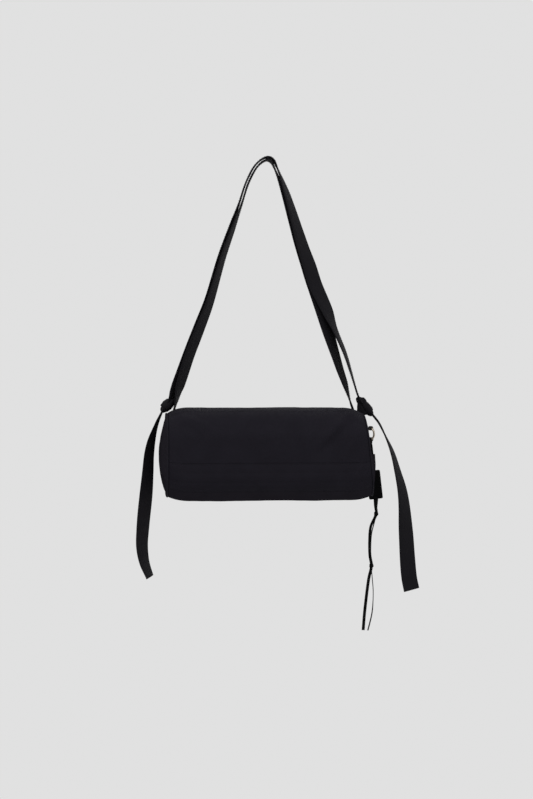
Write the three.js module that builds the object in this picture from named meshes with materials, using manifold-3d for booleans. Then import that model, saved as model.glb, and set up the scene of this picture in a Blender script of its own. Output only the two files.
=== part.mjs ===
// A small cloth barrel bag that hangs by two stacked shoulder straps.
// Millimetres, +Z up, the front of the bag faces -Y and its length lies along X.
// The origin is the top of the strap's apex, where a hook holds the bag up.
import * as THREE from 'three';
import { mergeVertices } from 'three/addons/utils/BufferGeometryUtils.js';
import Module from 'manifold-3d';

const manifoldKit = await Module();
manifoldKit.setup();
const { Manifold, Mesh } = manifoldKit;

// ---- driving dimensions -------------------------------------------------------------------
const bagTop = -356;
const bagBottom = -487;
const halfDepth = 60;
const cornerRadius = 42;
const endX = 142.5;
const bagMiddleX = -1.2;
const zipDip = 6;            // the zip lies in a shallow valley along the top
const wall = 1.6;
const gap = 0.4;
const liningWall = 1;
const leftBulge = 11;
const rightBulge = 8;
const pipingRadius = 1.7;
const rimDepth = 2.5;        // how far the end panels' rims sit under the outer surface

const flapSeamS = 36.4;      // how far round from the top's middle the mouth flaps fold
const mainSeamS = 117.9;     // the long seam across the front and the back
const baseSeamS = 161.2;     // the seam between the lower panels and the base
const zipMiddleX = -6;
const flapHalf = 90;
const zipEndHalf = 114;
const parkedHalf = 97;
const facingEdgeY = 6.8;

const strapWidth = 25;
const strapThick = 2.6;
const strandSpacing = 3.7;
const swingZ = -334;         // the straps flex here, just above the knots
const tipRadius = 7;

const ringMiddle = new THREE.Vector3(156.3, 65, -395.9);
const ringRadius = 8.1;
const wireRadius = 1.4;
const charmY = 66;

// ---- materials ----------------------------------------------------------------------------
const colours = {
  shell: 0x242127, seam: 0x1c1a1f, lining: 0x2b292e, strap: 0x1e1d20, board: 0x3a3a3a,
  zip: 0x151517, metal: 0xb9bbbd, leather: 0x111112, lace: 0x101011,
};

const part = new THREE.Group();
part.name = 'barrel_bag';

function add(name, geometry, colour, metalness = 0, roughness = 0.85) {
  const material = new THREE.MeshStandardMaterial({ color: colours[colour], metalness, roughness });
  const mesh = new THREE.Mesh(geometry, material);
  mesh.name = name;
  part.add(mesh);
}

// ---- small helpers ------------------------------------------------------------------------
const clamp = (value, low, high) => Math.min(high, Math.max(low, value));
const mix = (a, b, t) => a + (b - a) * t;

// Reads a value from a list of [position, value] pairs, with straight lines between them.
function along(pairs, at) {
  const last = pairs.length - 1;
  for (let i = 0; i < last; i++) {
    const [start, from] = pairs[i];
    const [end, to] = pairs[i + 1];
    if (at <= end || i === last - 1) return mix(from, to, clamp((at - start) / (end - start), 0, 1));
  }
  return pairs[last][1];
}

// A closed solid from rows of points: each row is a closed outline, and the ends are capped.
function loft(rows, closeRound = false) {
  const count = rows[0].length;
  const positions = rows.flat().flatMap((p) => [p.x, p.y, p.z]);
  const faces = [];
  const rowPairs = closeRound ? rows.length : rows.length - 1;
  for (let r = 0; r < rowPairs; r++) {
    const here = r * count;
    const next = ((r + 1) % rows.length) * count;
    for (let i = 0; i < count; i++) {
      const j = (i + 1) % count;
      faces.push(here + i, next + i, next + j, here + i, next + j, here + j);
    }
  }
  if (!closeRound) {
    for (const [row, flip] of [[0, false], [rows.length - 1, true]]) {
      const middle = positions.length / 3;
      const centre = new THREE.Vector3();
      rows[row].forEach((p) => centre.add(p));
      centre.divideScalar(count);
      positions.push(centre.x, centre.y, centre.z);
      for (let i = 0; i < count; i++) {
        const a = row * count + i;
        const b = row * count + ((i + 1) % count);
        faces.push(middle, flip ? b : a, flip ? a : b);
      }
    }
  }
  return facingOut(positions, faces);
}

// Builds the geometry and turns it inside out if its volume comes out negative.
function facingOut(positions, faces) {
  let volume = 0;
  const corner = (i) => new THREE.Vector3(...positions.slice(3 * i, 3 * i + 3));
  for (let f = 0; f < faces.length; f += 3) {
    const [a, b, c] = [corner(faces[f]), corner(faces[f + 1]), corner(faces[f + 2])];
    volume += a.dot(b.cross(c));
  }
  const ordered = [];
  for (let f = 0; f < faces.length; f += 3) {
    const [a, b, c] = faces.slice(f, f + 3);
    ordered.push(a, ...(volume > 0 ? [b, c] : [c, b]));
  }
  const geometry = new THREE.BufferGeometry();
  geometry.setAttribute('position', new THREE.Float32BufferAttribute(positions, 3));
  geometry.setIndex(ordered);
  return geometry;
}

function toManifold(geometry) {
  const plain = new THREE.BufferGeometry();
  plain.setAttribute('position', geometry.getAttribute('position'));
  plain.setIndex(geometry.getIndex());
  const merged = mergeVertices(plain, 1e-4);
  const triVerts = new Uint32Array(merged.getIndex().array);
  const vertProperties = new Float32Array(merged.getAttribute('position').array);
  return new Manifold(new Mesh({ numProp: 3, triVerts, vertProperties }));
}

function fromManifold(solid) {
  const mesh = solid.getMesh();
  const geometry = new THREE.BufferGeometry();
  geometry.setAttribute('position', new THREE.Float32BufferAttribute(mesh.vertProperties, 3));
  geometry.setIndex([...mesh.triVerts]);
  return geometry;
}

function boxSolid(x0, x1, y0, y1, z0, z1) {
  const box = new THREE.BoxGeometry(x1 - x0, y1 - y0, z1 - z0);
  box.translate((x0 + x1) / 2, (y0 + y1) / 2, (z0 + z1) / 2);
  return toManifold(box);
}

// A round bar along Y, turned about Z by `turn` and moved to `at`.
function rodSolid(length, radius, sides, at, turn = 0) {
  const rod = new THREE.CylinderGeometry(radius, radius, length, sides);
  rod.rotateZ(turn);
  rod.translate(...at);
  return toManifold(rod);
}

// ---- the bag's outer surface --------------------------------------------------------------
const flatTop = halfDepth - cornerRadius;
const quarter = (cornerRadius * Math.PI) / 2;
const flatSide = bagTop - bagBottom - 2 * cornerRadius;
const halfRound = 2 * flatTop + 2 * quarter + flatSide;
const fullRound = 2 * halfRound;

// The top of the right end leans inward.
function settle(x, y, z) {
  const lean = x > 0 ? 0.11 * (-440 - z) * (x / endX) ** 2 : 0;
  return new THREE.Vector3(x + bagMiddleX + lean, y, z);
}

// How deep the zip's valley is at x: it runs out beyond the zip's ends.
const dipAt = (x) => zipDip * clamp((127 - Math.abs(x)) / 9, 0, 1);

// A point of the section at x (the ends draw in a little), s mm round from the top's middle by way of the front,
// and `inward` mm under the outer surface.
function bagPoint(x, s, inward, dip = dipAt(x)) {
  const ease = clamp((Math.abs(x) - 110) / (endX - 110), 0, 1) ** 2;
  const half = halfDepth - 3 * ease - inward;
  const top = bagTop - 7 * ease - inward;
  const bottom = bagBottom + 5 * ease + inward;
  const radius = cornerRadius - inward;
  const turn = ((s % fullRound) + fullRound) % fullRound;
  const side = turn > halfRound ? 1 : -1;
  const run = turn > halfRound ? fullRound - turn : turn;
  const stops = [flatTop, flatTop + quarter, flatTop + quarter + flatSide, halfRound - flatTop];
  let y = half;
  let z;
  if (run < stops[0]) {
    y = (run / flatTop) * (half - radius);
    z = top - dip * (1 - (run / flatTop) ** 2) ** 2;
  } else if (run < stops[1]) {
    const angle = (run - stops[0]) / cornerRadius;
    y = half - radius + radius * Math.sin(angle);
    z = top - radius + radius * Math.cos(angle);
  } else if (run < stops[2]) {
    z = mix(top - radius, bottom + radius, (run - stops[1]) / flatSide);
  } else if (run < stops[3]) {
    const angle = (run - stops[2]) / cornerRadius;
    y = half - radius + radius * Math.cos(angle);
    z = bottom + radius - radius * Math.sin(angle);
  } else {
    y = ((halfRound - run) / flatTop) * (half - radius);
    z = bottom;
  }
  return settle(x, side * y, z);
}

// Steps round from s0 to s1 that land on the section's corners between flat and arc.
function stepsRound(s0, s1, size) {
  const bends = [flatTop, flatTop + quarter, flatTop + quarter + flatSide, halfRound - flatTop];
  const marks = [s0, s1];
  for (const bend of bends) {
    for (const at of [bend, -bend, fullRound - bend]) {
      if (at > s0 + 1 && at < s1 - 1) marks.push(at);
    }
  }
  marks.sort((a, b) => a - b);
  const steps = [s0];
  for (let i = 0; i + 1 < marks.length; i++) {
    const parts = Math.ceil((marks[i + 1] - marks[i]) / size);
    for (let k = 1; k <= parts; k++) steps.push(mix(marks[i], marks[i + 1], k / parts));
  }
  return steps;
}

function stepsAlongBag(x0, x1) {
  const marks = [x0, x1];
  for (const at of [-136, -128, -119, -110, -60, 0, 60, 110, 119, 128, 136]) {
    if (at > x0 + 2 && at < x1 - 2) marks.push(at);
  }
  return marks.sort((a, b) => a - b);
}

// A curved panel of the bag between two depths under the outer surface.
function panel(s0, s1, x0, x1, outerDepth, innerDepth, size = 9) {
  const round = stepsRound(s0, s1, size);
  const rows = stepsAlongBag(x0, x1).map((x) => [
    ...round.map((s) => bagPoint(x, s, outerDepth)),
    ...[...round].reverse().map((s) => bagPoint(x, s, innerDepth)),
  ]);
  return stripLoft(rows, round.length);
}

// A loft whose rows are a strip's outer line followed by its inner line, with strip-shaped caps.
function stripLoft(rows, half) {
  const count = rows[0].length;
  const positions = rows.flat().flatMap((p) => [p.x, p.y, p.z]);
  const faces = [];
  for (let r = 0; r + 1 < rows.length; r++) {
    for (let i = 0; i < count; i++) {
      const j = (i + 1) % count;
      const here = r * count;
      const next = here + count;
      faces.push(here + i, next + i, next + j, here + i, next + j, here + j);
    }
  }
  for (const [row, flip] of [[0, false], [rows.length - 1, true]]) {
    for (let i = 0; i + 1 < half; i++) {
      const a = row * count + i;
      const b = a + 1;
      const c = row * count + count - 2 - i;
      const d = c + 1;
      const cap = [a, b, c, a, c, d];
      faces.push(...(flip ? cap.reverse() : cap));
    }
  }
  return facingOut(positions, faces);
}

// ---- outer panels -------------------------------------------------------------------------
const panelEnd = 140.5;
const seamGap = 0.25;

const panels = {
  front_upper_panel: [flapSeamS, mainSeamS],
  front_lower_panel: [mainSeamS, baseSeamS],
  base_panel: [baseSeamS, fullRound - baseSeamS],
  back_lower_panel: [fullRound - baseSeamS, fullRound - mainSeamS],
  back_upper_panel: [fullRound - mainSeamS, fullRound - flapSeamS],
};
for (const [name, [from, to]] of Object.entries(panels)) {
  add(name, panel(from + seamGap, to - seamGap, -panelEnd, panelEnd, 0, wall), 'shell');
}

// The top's two ends stay closed; each has a notch where the zip's end lies.
const flapLow = zipMiddleX - flapHalf - bagMiddleX;
const flapHigh = zipMiddleX + flapHalf - bagMiddleX;
const zipEndLow = zipMiddleX - zipEndHalf;
const zipEndHigh = zipMiddleX + zipEndHalf;

function topEnd(x0, x1, notchLow, notchHigh) {
  const whole = toManifold(panel(-flapSeamS + seamGap, flapSeamS - seamGap, x0, x1, 0, wall));
  const notch = boxSolid(notchLow, notchHigh, -facingEdgeY, facingEdgeY, bagTop - 16, bagTop + 5);
  return fromManifold(whole.subtract(notch));
}
add('top_end_left', topEnd(-panelEnd, flapLow - gap, zipEndLow - gap, 0), 'shell');
add('top_end_right', topEnd(flapHigh + gap, panelEnd, 0, zipEndHigh + gap), 'shell');

// ---- end panels and piping ----------------------------------------------------------------
const endOutline = stepsRound(0, fullRound, 13).slice(0, -1);

function endPoint(side, s, share, depth) {
  const rim = bagPoint(side * endX, s, rimDepth);
  const middle = new THREE.Vector3(side * endX + bagMiddleX, 0, (bagTop + bagBottom) / 2);
  const bulge = (side < 0 ? leftBulge : rightBulge) * (1 - share * share);
  const point = middle.clone().lerp(rim, share);
  point.x = rim.x + side * (bulge - depth) - side * 0.4;
  return point;
}

function endPanel(side) {
  const shares = [0.25, 0.5, 0.7, 0.86, 1];
  const rows = [];
  for (const share of shares) rows.push(endOutline.map((s) => endPoint(side, s, share, 0)));
  for (const share of [...shares].reverse()) {
    rows.push(endOutline.map((s) => endPoint(side, s, share, wall)));
  }
  return loft(rows);
}

function piping(side) {
  const sides = 8;
  const rows = endOutline.map((s) => {
    const centre = bagPoint(side * endX, s, 0.4);
    const outward = bagPoint(side * endX, s, -1).sub(bagPoint(side * endX, s, 1)).normalize();
    const row = [];
    for (let k = 0; k < sides; k++) {
      const angle = (2 * Math.PI * k) / sides;
      const offset = outward.clone().multiplyScalar(pipingRadius * Math.cos(angle));
      offset.x += side * (pipingRadius * Math.sin(angle) + 0.2);
      row.push(centre.clone().add(offset));
    }
    return row;
  });
  return loft(rows, true);
}

for (const [name, side] of [['left', -1], ['right', 1]]) {
  add(`${name}_end_panel`, endPanel(side), 'shell');
  add(`${name}_piping`, piping(side), 'seam');
}

// ---- inside the bag -----------------------------------------------------------------------
const liningOuter = wall + gap;
const liningInner = liningOuter + liningWall;
const liningEnd = 139.1;

// The lining hangs slack under the top, so it keeps the valley's full depth to its ends.
function bagSolid(half, depth) {
  const round = stepsRound(0, fullRound, 13).slice(0, -1);
  const rows = stepsAlongBag(-half, half).map((x) => round.map((s) => bagPoint(x, s, depth, zipDip)));
  return toManifold(loft(rows));
}

function lining() {
  const shell = bagSolid(liningEnd, liningOuter).subtract(bagSolid(liningEnd - liningWall, liningInner));
  const x0 = flapLow + bagMiddleX;
  const x1 = flapHigh + bagMiddleX;
  const mouth = boxSolid(x0 - 1, x1 + 1, -34, 34, bagTop - 16, bagTop + 5);
  const ends = boxSolid(zipEndLow - 2, zipEndHigh + 2, -17, 17, bagTop - 16, bagTop + 5);
  return fromManifold(shell.subtract(mouth).subtract(ends));
}
add('lining', lining(), 'lining');

const besideLining = liningInner + gap;
add('base_board', panel(halfRound - 38, halfRound + 38, -128, 128, besideLining, besideLining + 2), 'board');
add('inner_pocket', panel(96, 150, -60, 60, besideLining, besideLining + 1.2), 'lining');

// ---- zip ----------------------------------------------------------------------------------
const tapeTop = bagTop - zipDip - wall - gap;
const tapeThick = 0.8;
const tapeInnerY = 0.6;
const tapeOuterY = 15;
const coilTop = bagTop - zipDip + 0.3;
const coilOuterY = 2.8;
const leanIn = 3.4;          // the right flap ends this far inward, because that end of the bag leans
const zipRight = zipMiddleX + flapHalf - leanIn;

function plainBox(x0, x1, y0, y1, z0, z1) {
  return fromManifold(boxSolid(x0, x1, y0, y1, z0, z1));
}

for (const [name, side] of [['front', -1], ['back', 1]]) {
  const round = side < 0 ? [facingEdgeY, flapSeamS - seamGap] : [-flapSeamS + seamGap, -facingEdgeY];
  add(`zip_facing_${name}`, panel(...round, flapLow, flapHigh, 0, wall, 6), 'shell');
  const [x0, x1] = [flapLow + bagMiddleX + 0.5, zipRight - 0.5];
  const ys = (a, b) => (side < 0 ? [-b, -a] : [a, b]);
  add(`zip_tape_${name}`,
    plainBox(x0, x1, ...ys(tapeInnerY, tapeOuterY), tapeTop - tapeThick, tapeTop), 'zip');
  add(`zip_coil_${name}`,
    plainBox(x0, x1, ...ys(tapeInnerY, coilOuterY), tapeTop + 0.3, coilTop), 'zip');
}

// Where the slider parks, tape and coil run on past the flaps and are sewn shut at the far end.
function zipEnd(inner, outer) {
  const [x0, x1] = [Math.min(inner, outer), Math.max(inner, outer)];
  const tape = boxSolid(x0, x1, -tapeOuterY, tapeOuterY, tapeTop - tapeThick, tapeTop);
  const coil = boxSolid(x0, x1, -coilOuterY, coilOuterY, tapeTop - 0.1, coilTop);
  const sewnShut = 6;
  const open = inner < outer ? [x0 - 1, x1 - sewnShut] : [x0 + sewnShut, x1 + 1];
  const slot = boxSolid(...open, -tapeInnerY, tapeInnerY, tapeTop - 5, coilTop + 1);
  return fromManifold(tape.add(coil).subtract(slot));
}
add('zip_end_left', zipEnd(zipMiddleX - flapHalf - gap, zipEndLow), 'zip');
add('zip_end_right', zipEnd(zipRight + gap, zipEndHigh), 'zip');

// The slider: an upper and a lower plate, joined by a thin wedge that runs between the coils.
const sliderX = zipMiddleX - parkedHalf;
const pullerPinZ = coilTop + 4.2;
function slider() {
  const upper = boxSolid(-4.5, 4.5, -5, 5, coilTop + 0.4, coilTop + 1.5);
  const lower = boxSolid(-4.5, 4.5, -5, 5, tapeTop - tapeThick - 1.5, tapeTop - tapeThick - 0.4);
  const wedge = boxSolid(-3, 1, -0.25, 0.25, tapeTop - tapeThick - 1, coilTop + 1);
  const posts = [-1, 1].map((side) => {
    const y = side < 0 ? [-4, -2.9] : [2.9, 4];
    return boxSolid(-2, 2, ...y, coilTop + 1, pullerPinZ + 1);
  });
  const pin = rodSolid(7, 0.7, 16, [0, 0, pullerPinZ]);
  let solid = upper.add(lower).add(wedge).add(pin);
  for (const post of posts) solid = solid.add(post);
  return fromManifold(solid.translate([sliderX, 0, 0]));
}
add('zip_slider', slider(), 'metal', 0.9, 0.4);

function puller() {
  const eye = rodSolid(4.8, 2, 20, [0, 0, 0]);
  const bar = boxSolid(-15, -1.4, -2.4, 2.4, -0.7, 0.7);
  const grip = boxSolid(-16.5, -8, -3.4, 3.4, -0.9, 0.9);
  const hole = rodSolid(8, 1.1, 20, [0, 0, 0]);
  const solid = eye.add(bar).add(grip).subtract(hole);
  return fromManifold(solid.translate([sliderX, 0, pullerPinZ]));
}
add('zip_puller', puller(), 'metal', 0.9, 0.4);

// ---- ribbons: straps, knots' tails, the charm's strip -------------------------------------
// Each point of a route is [x, y, z, twist, shift]. The width lies along Y at twist 0 and turns
// about the route with twist; shift moves the ribbon's middle off the route, along its own face.
function ribbon({ route, width, thick, cuts, tips = false }) {
  const curve = new THREE.CatmullRomCurve3(route.map(([x, y, z]) => new THREE.Vector3(x, y, z)));
  const twists = route.map((point, i) => [i, point[3] ?? 0]);
  const shifts = route.map((point, i) => [i, point[4] ?? 0]);
  const segments = route.length - 1;
  const rows = [];
  for (let i = 0; i <= segments * cuts; i++) {
    const at = i / cuts;
    const tangent = curve.getTangent(at / segments);
    const aside = new THREE.Vector3(0, 1, 0).cross(tangent).normalize();
    const normal = aside.applyAxisAngle(tangent, THREE.MathUtils.degToRad(along(twists, at)));
    const across = tangent.clone().cross(normal).normalize();
    const onRoute = curve.getPoint(at / segments);
    const toEnd = Math.min(onRoute.distanceTo(curve.getPoint(0)), onRoute.distanceTo(curve.getPoint(1)));
    const half = (width / 2) * (tips ? tipShare(toEnd, width) : 1);
    const centre = onRoute.clone().addScaledVector(normal, along(shifts, at));
    const corners = [[-1, -1], [1, -1], [1, 1], [-1, 1]];
    rows.push(corners.map(([a, b]) => centre.clone()
      .addScaledVector(across, a * half)
      .addScaledVector(normal, (b * thick) / 2)));
  }
  return loft(rows);
}

// A tip is a half circle of tipRadius that widens to the full strap over its last stretch.
function tipShare(away, width) {
  const round = away < tipRadius ? Math.sqrt(tipRadius ** 2 - (tipRadius - away) ** 2) : tipRadius;
  const widened = round + Math.max(0, away - tipRadius) * 0.28;
  return Math.min(1, Math.max(widened, 1.2) / (width / 2));
}

// Both strands run together from the left knot over the apex, then part above the right knot.
// Each point is [x, z, twist].
const pairRoute = [
  [-112, -280, -36], [-97, -241, -34], [-84, -206, -27], [-65, -141, -20], [-49.7, -97, -14],
  [-39.5, -68, -5], [-28.7, -35.5, 0], [-17, -14, 0], [-7, -5.2, 0], [0, -3.2, 0], [6, -6.5, 0],
  [11.5, -17, 6], [24.3, -49.7, 23], [41, -104, 41], [50, -132, 48], [58, -155, 55], [66, -180, 59],
];
const sewnEnds = {
  left: [[-128.6, -341, 0], [-127.3, -334, -12], [-124.7, -324, -30]],
  right: [[78, -220, 54], [84.6, -243, 49], [95.2, -277, 36], [102.4, -300, 31],
    [110.2, -322, 24], [113.8, -334, 12], [116, -341, 0]],
};
const tieEnds = {
  left: [[-135.8, -341, 0], [-133.5, -334, -12], [-130, -324, -30]],
  right: [[85.4, -220, 46], [94.9, -243, 22], [109.3, -277, 16], [116.9, -300, 14],
    [123.6, -322, 9], [127.2, -334, 4], [129.3, -341, 0]],
};

function strand(ends, shift) {
  const flat = ([x, z, twist]) => [x, 0, z, twist, 0];
  const stacked = ([x, z, twist]) => [x, 0, z, twist, shift];
  const route = [...ends.left.map(flat), ...pairRoute.map(stacked), ...ends.right.map(flat)];
  return ribbon({ route, width: strapWidth, thick: strapThick, cuts: 4, tips: true });
}
add('sewn_strap', strand(sewnEnds, strandSpacing / 2), 'strap');
add('tie_strap', strand(tieEnds, -strandSpacing / 2), 'strap');

// The last stretch of the sewn strap below the flex, stitched to the top of the bag.
const footTop = swingZ - tipRadius - 0.6;
const footShape = { width: 22, thick: strapThick, cuts: 2 };
const leftFoot = [[-129.2, 0, footTop], [-131, 0, -350], [-133.4, 0, -357.2]];
const rightFoot = [[116.6, 0, footTop], [118.6, 0, -350], [121.3, 0, -357]];
add('strap_foot_left', ribbon({ route: leftFoot, ...footShape }), 'strap');
add('strap_foot_right', ribbon({ route: rightFoot, ...footShape }), 'strap');

// ---- knots and hanging tails --------------------------------------------------------------
// A knot is a rounded block, about as firm as a pulled-tight strap.
function knot(centre, size, leanDegrees) {
  const shape = new THREE.SphereGeometry(0.5, 16, 12);
  const plain = new THREE.BufferGeometry();
  plain.setAttribute('position', shape.getAttribute('position'));
  plain.setIndex(shape.getIndex());
  const solid = mergeVertices(plain, 1e-4);
  const at = solid.getAttribute('position');
  for (let i = 0; i < at.count; i++) {
    const corner = [at.getX(i), at.getY(i), at.getZ(i)];
    at.setXYZ(i, ...corner.map((v) => (Math.sign(v) * Math.abs(2 * v) ** 0.75) / 2));
  }
  solid.scale(...size);
  solid.rotateY(THREE.MathUtils.degToRad(leanDegrees));
  solid.translate(...centre);
  return solid;
}
add('tie_knot_left', knot([-145, 0, -351], [17, 20, 17], 20), 'strap');
add('tie_knot_right', knot([139.5, 0, -351], [16, 22, 19], -25), 'strap');

// Each point is [x, z, twist].
const leftTail = [
  [-151.8, -363.5, 8], [-155.6, -372, 10], [-160.5, -386, 15], [-165.2, -402, 22],
  [-168.2, -420, 28], [-170.2, -445, 34], [-173.3, -480, 43], [-177.3, -524, 40],
  [-178.8, -552, 38], [-175.6, -574, 32], [-167.5, -595.5, 25],
];
const rightTail = [
  [149.3, -364.5, 0], [159, -378, 3], [168.5, -397, 8], [176.8, -419, 14], [184, -443, 22],
  [190.5, -470, 32], [194.5, -500, 43], [197.3, -536, 58], [199.8, -570, 66], [203, -600, 70],
  [206.8, -617.5, 72],
];
for (const [name, points] of [['tie_tail_left', leftTail], ['tie_tail_right', rightTail]]) {
  const route = points.map(([x, z, twist]) => [x, 0, z, twist]);
  add(name, ribbon({ route, width: strapWidth, thick: strapThick, cuts: 2 }), 'strap');
}

// ---- ring loop, ring, strip, tag and lace -------------------------------------------------
// The ring stands across the bag's back right edge: its wire's top runs along ringAlong.
const ringAlong = new THREE.Vector3(0.5, -Math.sqrt(0.75), 0);
const ringOut = new THREE.Vector3(Math.sqrt(0.75), 0.5, 0);
const wireTop = ringMiddle.clone().setZ(ringMiddle.z + ringRadius);
const wireBottom = ringMiddle.clone().setZ(ringMiddle.z - ringRadius);
const eyeRadius = 2.4;
const eyeThick = 0.8;
const eyeWidth = 6;

function ring() {
  const up = new THREE.Vector3(0, 0, 1);
  const turn = new THREE.Matrix4().makeBasis(ringAlong, up, ringOut.clone().negate());
  const geometry = new THREE.TorusGeometry(ringRadius, wireRadius, 8, 26);
  geometry.applyMatrix4(turn);
  geometry.translate(...ringMiddle);
  return fromManifold(toManifold(geometry));
}
add('ring', ring(), 'metal', 0.95, 0.3);

// A strip folded round the ring's wire: an eye for the wire, joined to the leg that leads away.
function eyeAndLeg(at, leg) {
  const turn = Math.atan2(ringOut.y, ringOut.x);
  const outer = rodSolid(eyeWidth, eyeRadius + eyeThick, 24, [...at], turn);
  const hole = rodSolid(eyeWidth + 4, eyeRadius, 24, [...at], turn);
  return outer.add(toManifold(leg)).subtract(hole);
}

function ringLoop() {
  const start = wireTop.clone().addScaledVector(ringOut, -eyeRadius);
  const root = [138.8, 54, -386];
  const middle = start.clone().lerp(new THREE.Vector3(...root), 0.5);
  const leg = ribbon({
    route: [[start.x, start.y, start.z], [middle.x, middle.y, middle.z], root],
    width: eyeWidth, thick: 1.4, cuts: 1,
  });
  return fromManifold(eyeAndLeg(wireTop, leg));
}
add('ring_loop', ringLoop(), 'strap');

// The tag: two leather faces with the strip's end and the lace's fold held between them.
const tagTop = new THREE.Vector3(160, charmY, -449.6);
const tagWidth = 20;
const tagHeight = 42;
const tagLean = -6.4;
const tagFaceInner = 1.2;
const tagFaceOuter = 2.7;

function charmStrip() {
  const start = wireBottom.clone().setZ(wireBottom.z - eyeRadius);
  const leg = ribbon({
    route: [[start.x, start.y, start.z, -30], [158.2, charmY - 0.4, -427.5, -60],
      [159.8, charmY, -448.5, -90], [160.3, charmY, -456.5, -90]],
    width: eyeWidth, thick: 1.6, cuts: 3,
  });
  return fromManifold(eyeAndLeg(wireBottom, leg));
}
add('charm_strip', charmStrip(), 'leather');

function tagFace(y0, y1) {
  const shape = new THREE.Shape();
  const half = tagWidth / 2;
  const round = 2;
  shape.moveTo(-half + round, 0);
  shape.lineTo(half - round, 0).quadraticCurveTo(half, 0, half, -round);
  shape.lineTo(half, round - tagHeight).quadraticCurveTo(half, -tagHeight, half - round, -tagHeight);
  shape.lineTo(round - half, -tagHeight).quadraticCurveTo(-half, -tagHeight, -half, round - tagHeight);
  shape.lineTo(-half, -round).quadraticCurveTo(-half, 0, -half + round, 0);
  const settings = { depth: y1 - y0, bevelEnabled: false, curveSegments: 3 };
  const geometry = new THREE.ExtrudeGeometry(shape, settings);
  geometry.rotateX(Math.PI / 2);
  geometry.translate(0, y1, 0);
  geometry.rotateY(THREE.MathUtils.degToRad(tagLean));
  geometry.translate(...tagTop);
  return fromManifold(toManifold(geometry));
}
add('tag_front', tagFace(-tagFaceOuter, -tagFaceInner), 'leather');
add('tag_back', tagFace(tagFaceInner, tagFaceOuter), 'leather');

// One flat lace, folded in half inside the tag and knotted twice.
const laceWidth = 4.4;
const laceThick = 1.2;
const laceTop = [164.5, -490];
const upperKnot = [164.7, -513.2];
const lowerKnot = [157.8, -589.2];
const laceStrands = [
  {
    points: [[162.9, -487], [163.6, -500], upperKnot, [156.7, -532.2], [155.1, -552.7], [155.6, -574],
      lowerKnot, [154.1, -606.8], [151.6, -624.3], [149.5, -641.8], [147.6, -659.4], [145.7, -683.5]],
    turn: 78, y: charmY - 0.8,
  },
  {
    points: [[166.1, -487], [165.8, -500], upperKnot, [161.7, -527.8], [158.1, -542.4],
      [156.6, -566], lowerKnot, [159.2, -606.8], [160.6, -624.3], [160.4, -641.8], [158.8, -659.4],
      [152.9, -684.2]],
    turn: 12, y: charmY + 0.8,
  },
];

function laceKnot([x, z], size) {
  const ball = new THREE.SphereGeometry(0.5, 12, 8);
  ball.scale(...size);
  ball.translate(x, charmY, z);
  return toManifold(ball);
}

function lace() {
  const [x, z] = laceTop;
  const fold = boxSolid(x - 4.2, x + 4.2, charmY - 0.7, charmY + 0.7, z - 8, z + 7);
  let solid = fold.add(laceKnot(upperKnot, [6.5, 6.5, 9])).add(laceKnot(lowerKnot, [6.5, 6.5, 9]));
  for (const { points, turn, y } of laceStrands) {
    const half = ribbon({
      route: points.map(([px, pz], i) => (i === 0 ? [px, charmY, pz, 90] : [px, y, pz, turn])),
      width: laceWidth, thick: laceThick, cuts: 2,
    });
    solid = solid.add(toManifold(half));
  }
  const tagSlit = boxSolid(x - 20, x + 20, charmY - 20, charmY - 0.8, z - 3, z + 30);
  const backSlit = boxSolid(x - 20, x + 20, charmY + 0.8, charmY + 20, z - 3, z + 30);
  return fromManifold(solid.subtract(tagSlit).subtract(backSlit));
}
add('lace', lace(), 'lace');

export default part;
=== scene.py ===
"""The looks of a small black cloth barrel bag: lofted panels, ribbons, knots, a zip and a charm."""

import math

import bmesh
import bpy
import numpy as np
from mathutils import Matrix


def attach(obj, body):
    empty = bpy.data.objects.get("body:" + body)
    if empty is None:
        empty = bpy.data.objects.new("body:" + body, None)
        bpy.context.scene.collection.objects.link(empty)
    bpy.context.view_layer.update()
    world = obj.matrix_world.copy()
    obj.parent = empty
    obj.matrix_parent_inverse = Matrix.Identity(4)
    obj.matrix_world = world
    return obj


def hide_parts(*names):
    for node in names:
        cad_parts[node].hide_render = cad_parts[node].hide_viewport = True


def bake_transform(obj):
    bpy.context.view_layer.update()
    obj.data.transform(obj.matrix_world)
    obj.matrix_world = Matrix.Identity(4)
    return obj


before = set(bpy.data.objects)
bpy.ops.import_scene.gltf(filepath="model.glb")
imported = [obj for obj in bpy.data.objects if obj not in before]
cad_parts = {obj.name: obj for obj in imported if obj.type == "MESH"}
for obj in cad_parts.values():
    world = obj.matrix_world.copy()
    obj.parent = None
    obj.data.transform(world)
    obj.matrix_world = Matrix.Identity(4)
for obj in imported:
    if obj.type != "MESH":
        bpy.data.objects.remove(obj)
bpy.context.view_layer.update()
MM = 0.001
TAU = 2 * math.pi

# ---- camera -------------------------------------------------------------------------------
CAMERA_AZIMUTH = math.radians(-5)
CAMERA_ELEVATION = math.radians(1)
CAMERA_DISTANCE = 2.679
CAMERA_TARGET = np.array([-0.0021, 0.0, -0.3444])


def make_camera():
    data = bpy.data.cameras.new("camera")
    data.lens = 85
    data.sensor_fit = "VERTICAL"
    data.sensor_height = 36
    data.clip_end = 50
    camera = bpy.data.objects.new("camera", data)
    bpy.context.scene.collection.objects.link(camera)
    level = math.cos(CAMERA_ELEVATION)
    away = np.array([
        math.sin(CAMERA_AZIMUTH) * level,
        -math.cos(CAMERA_AZIMUTH) * level,
        math.sin(CAMERA_ELEVATION),
    ])
    camera.location = CAMERA_TARGET + away * CAMERA_DISTANCE
    camera.rotation_euler = (math.pi / 2 - CAMERA_ELEVATION, 0, CAMERA_AZIMUTH)
    bpy.context.scene.camera = camera


make_camera()


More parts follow.
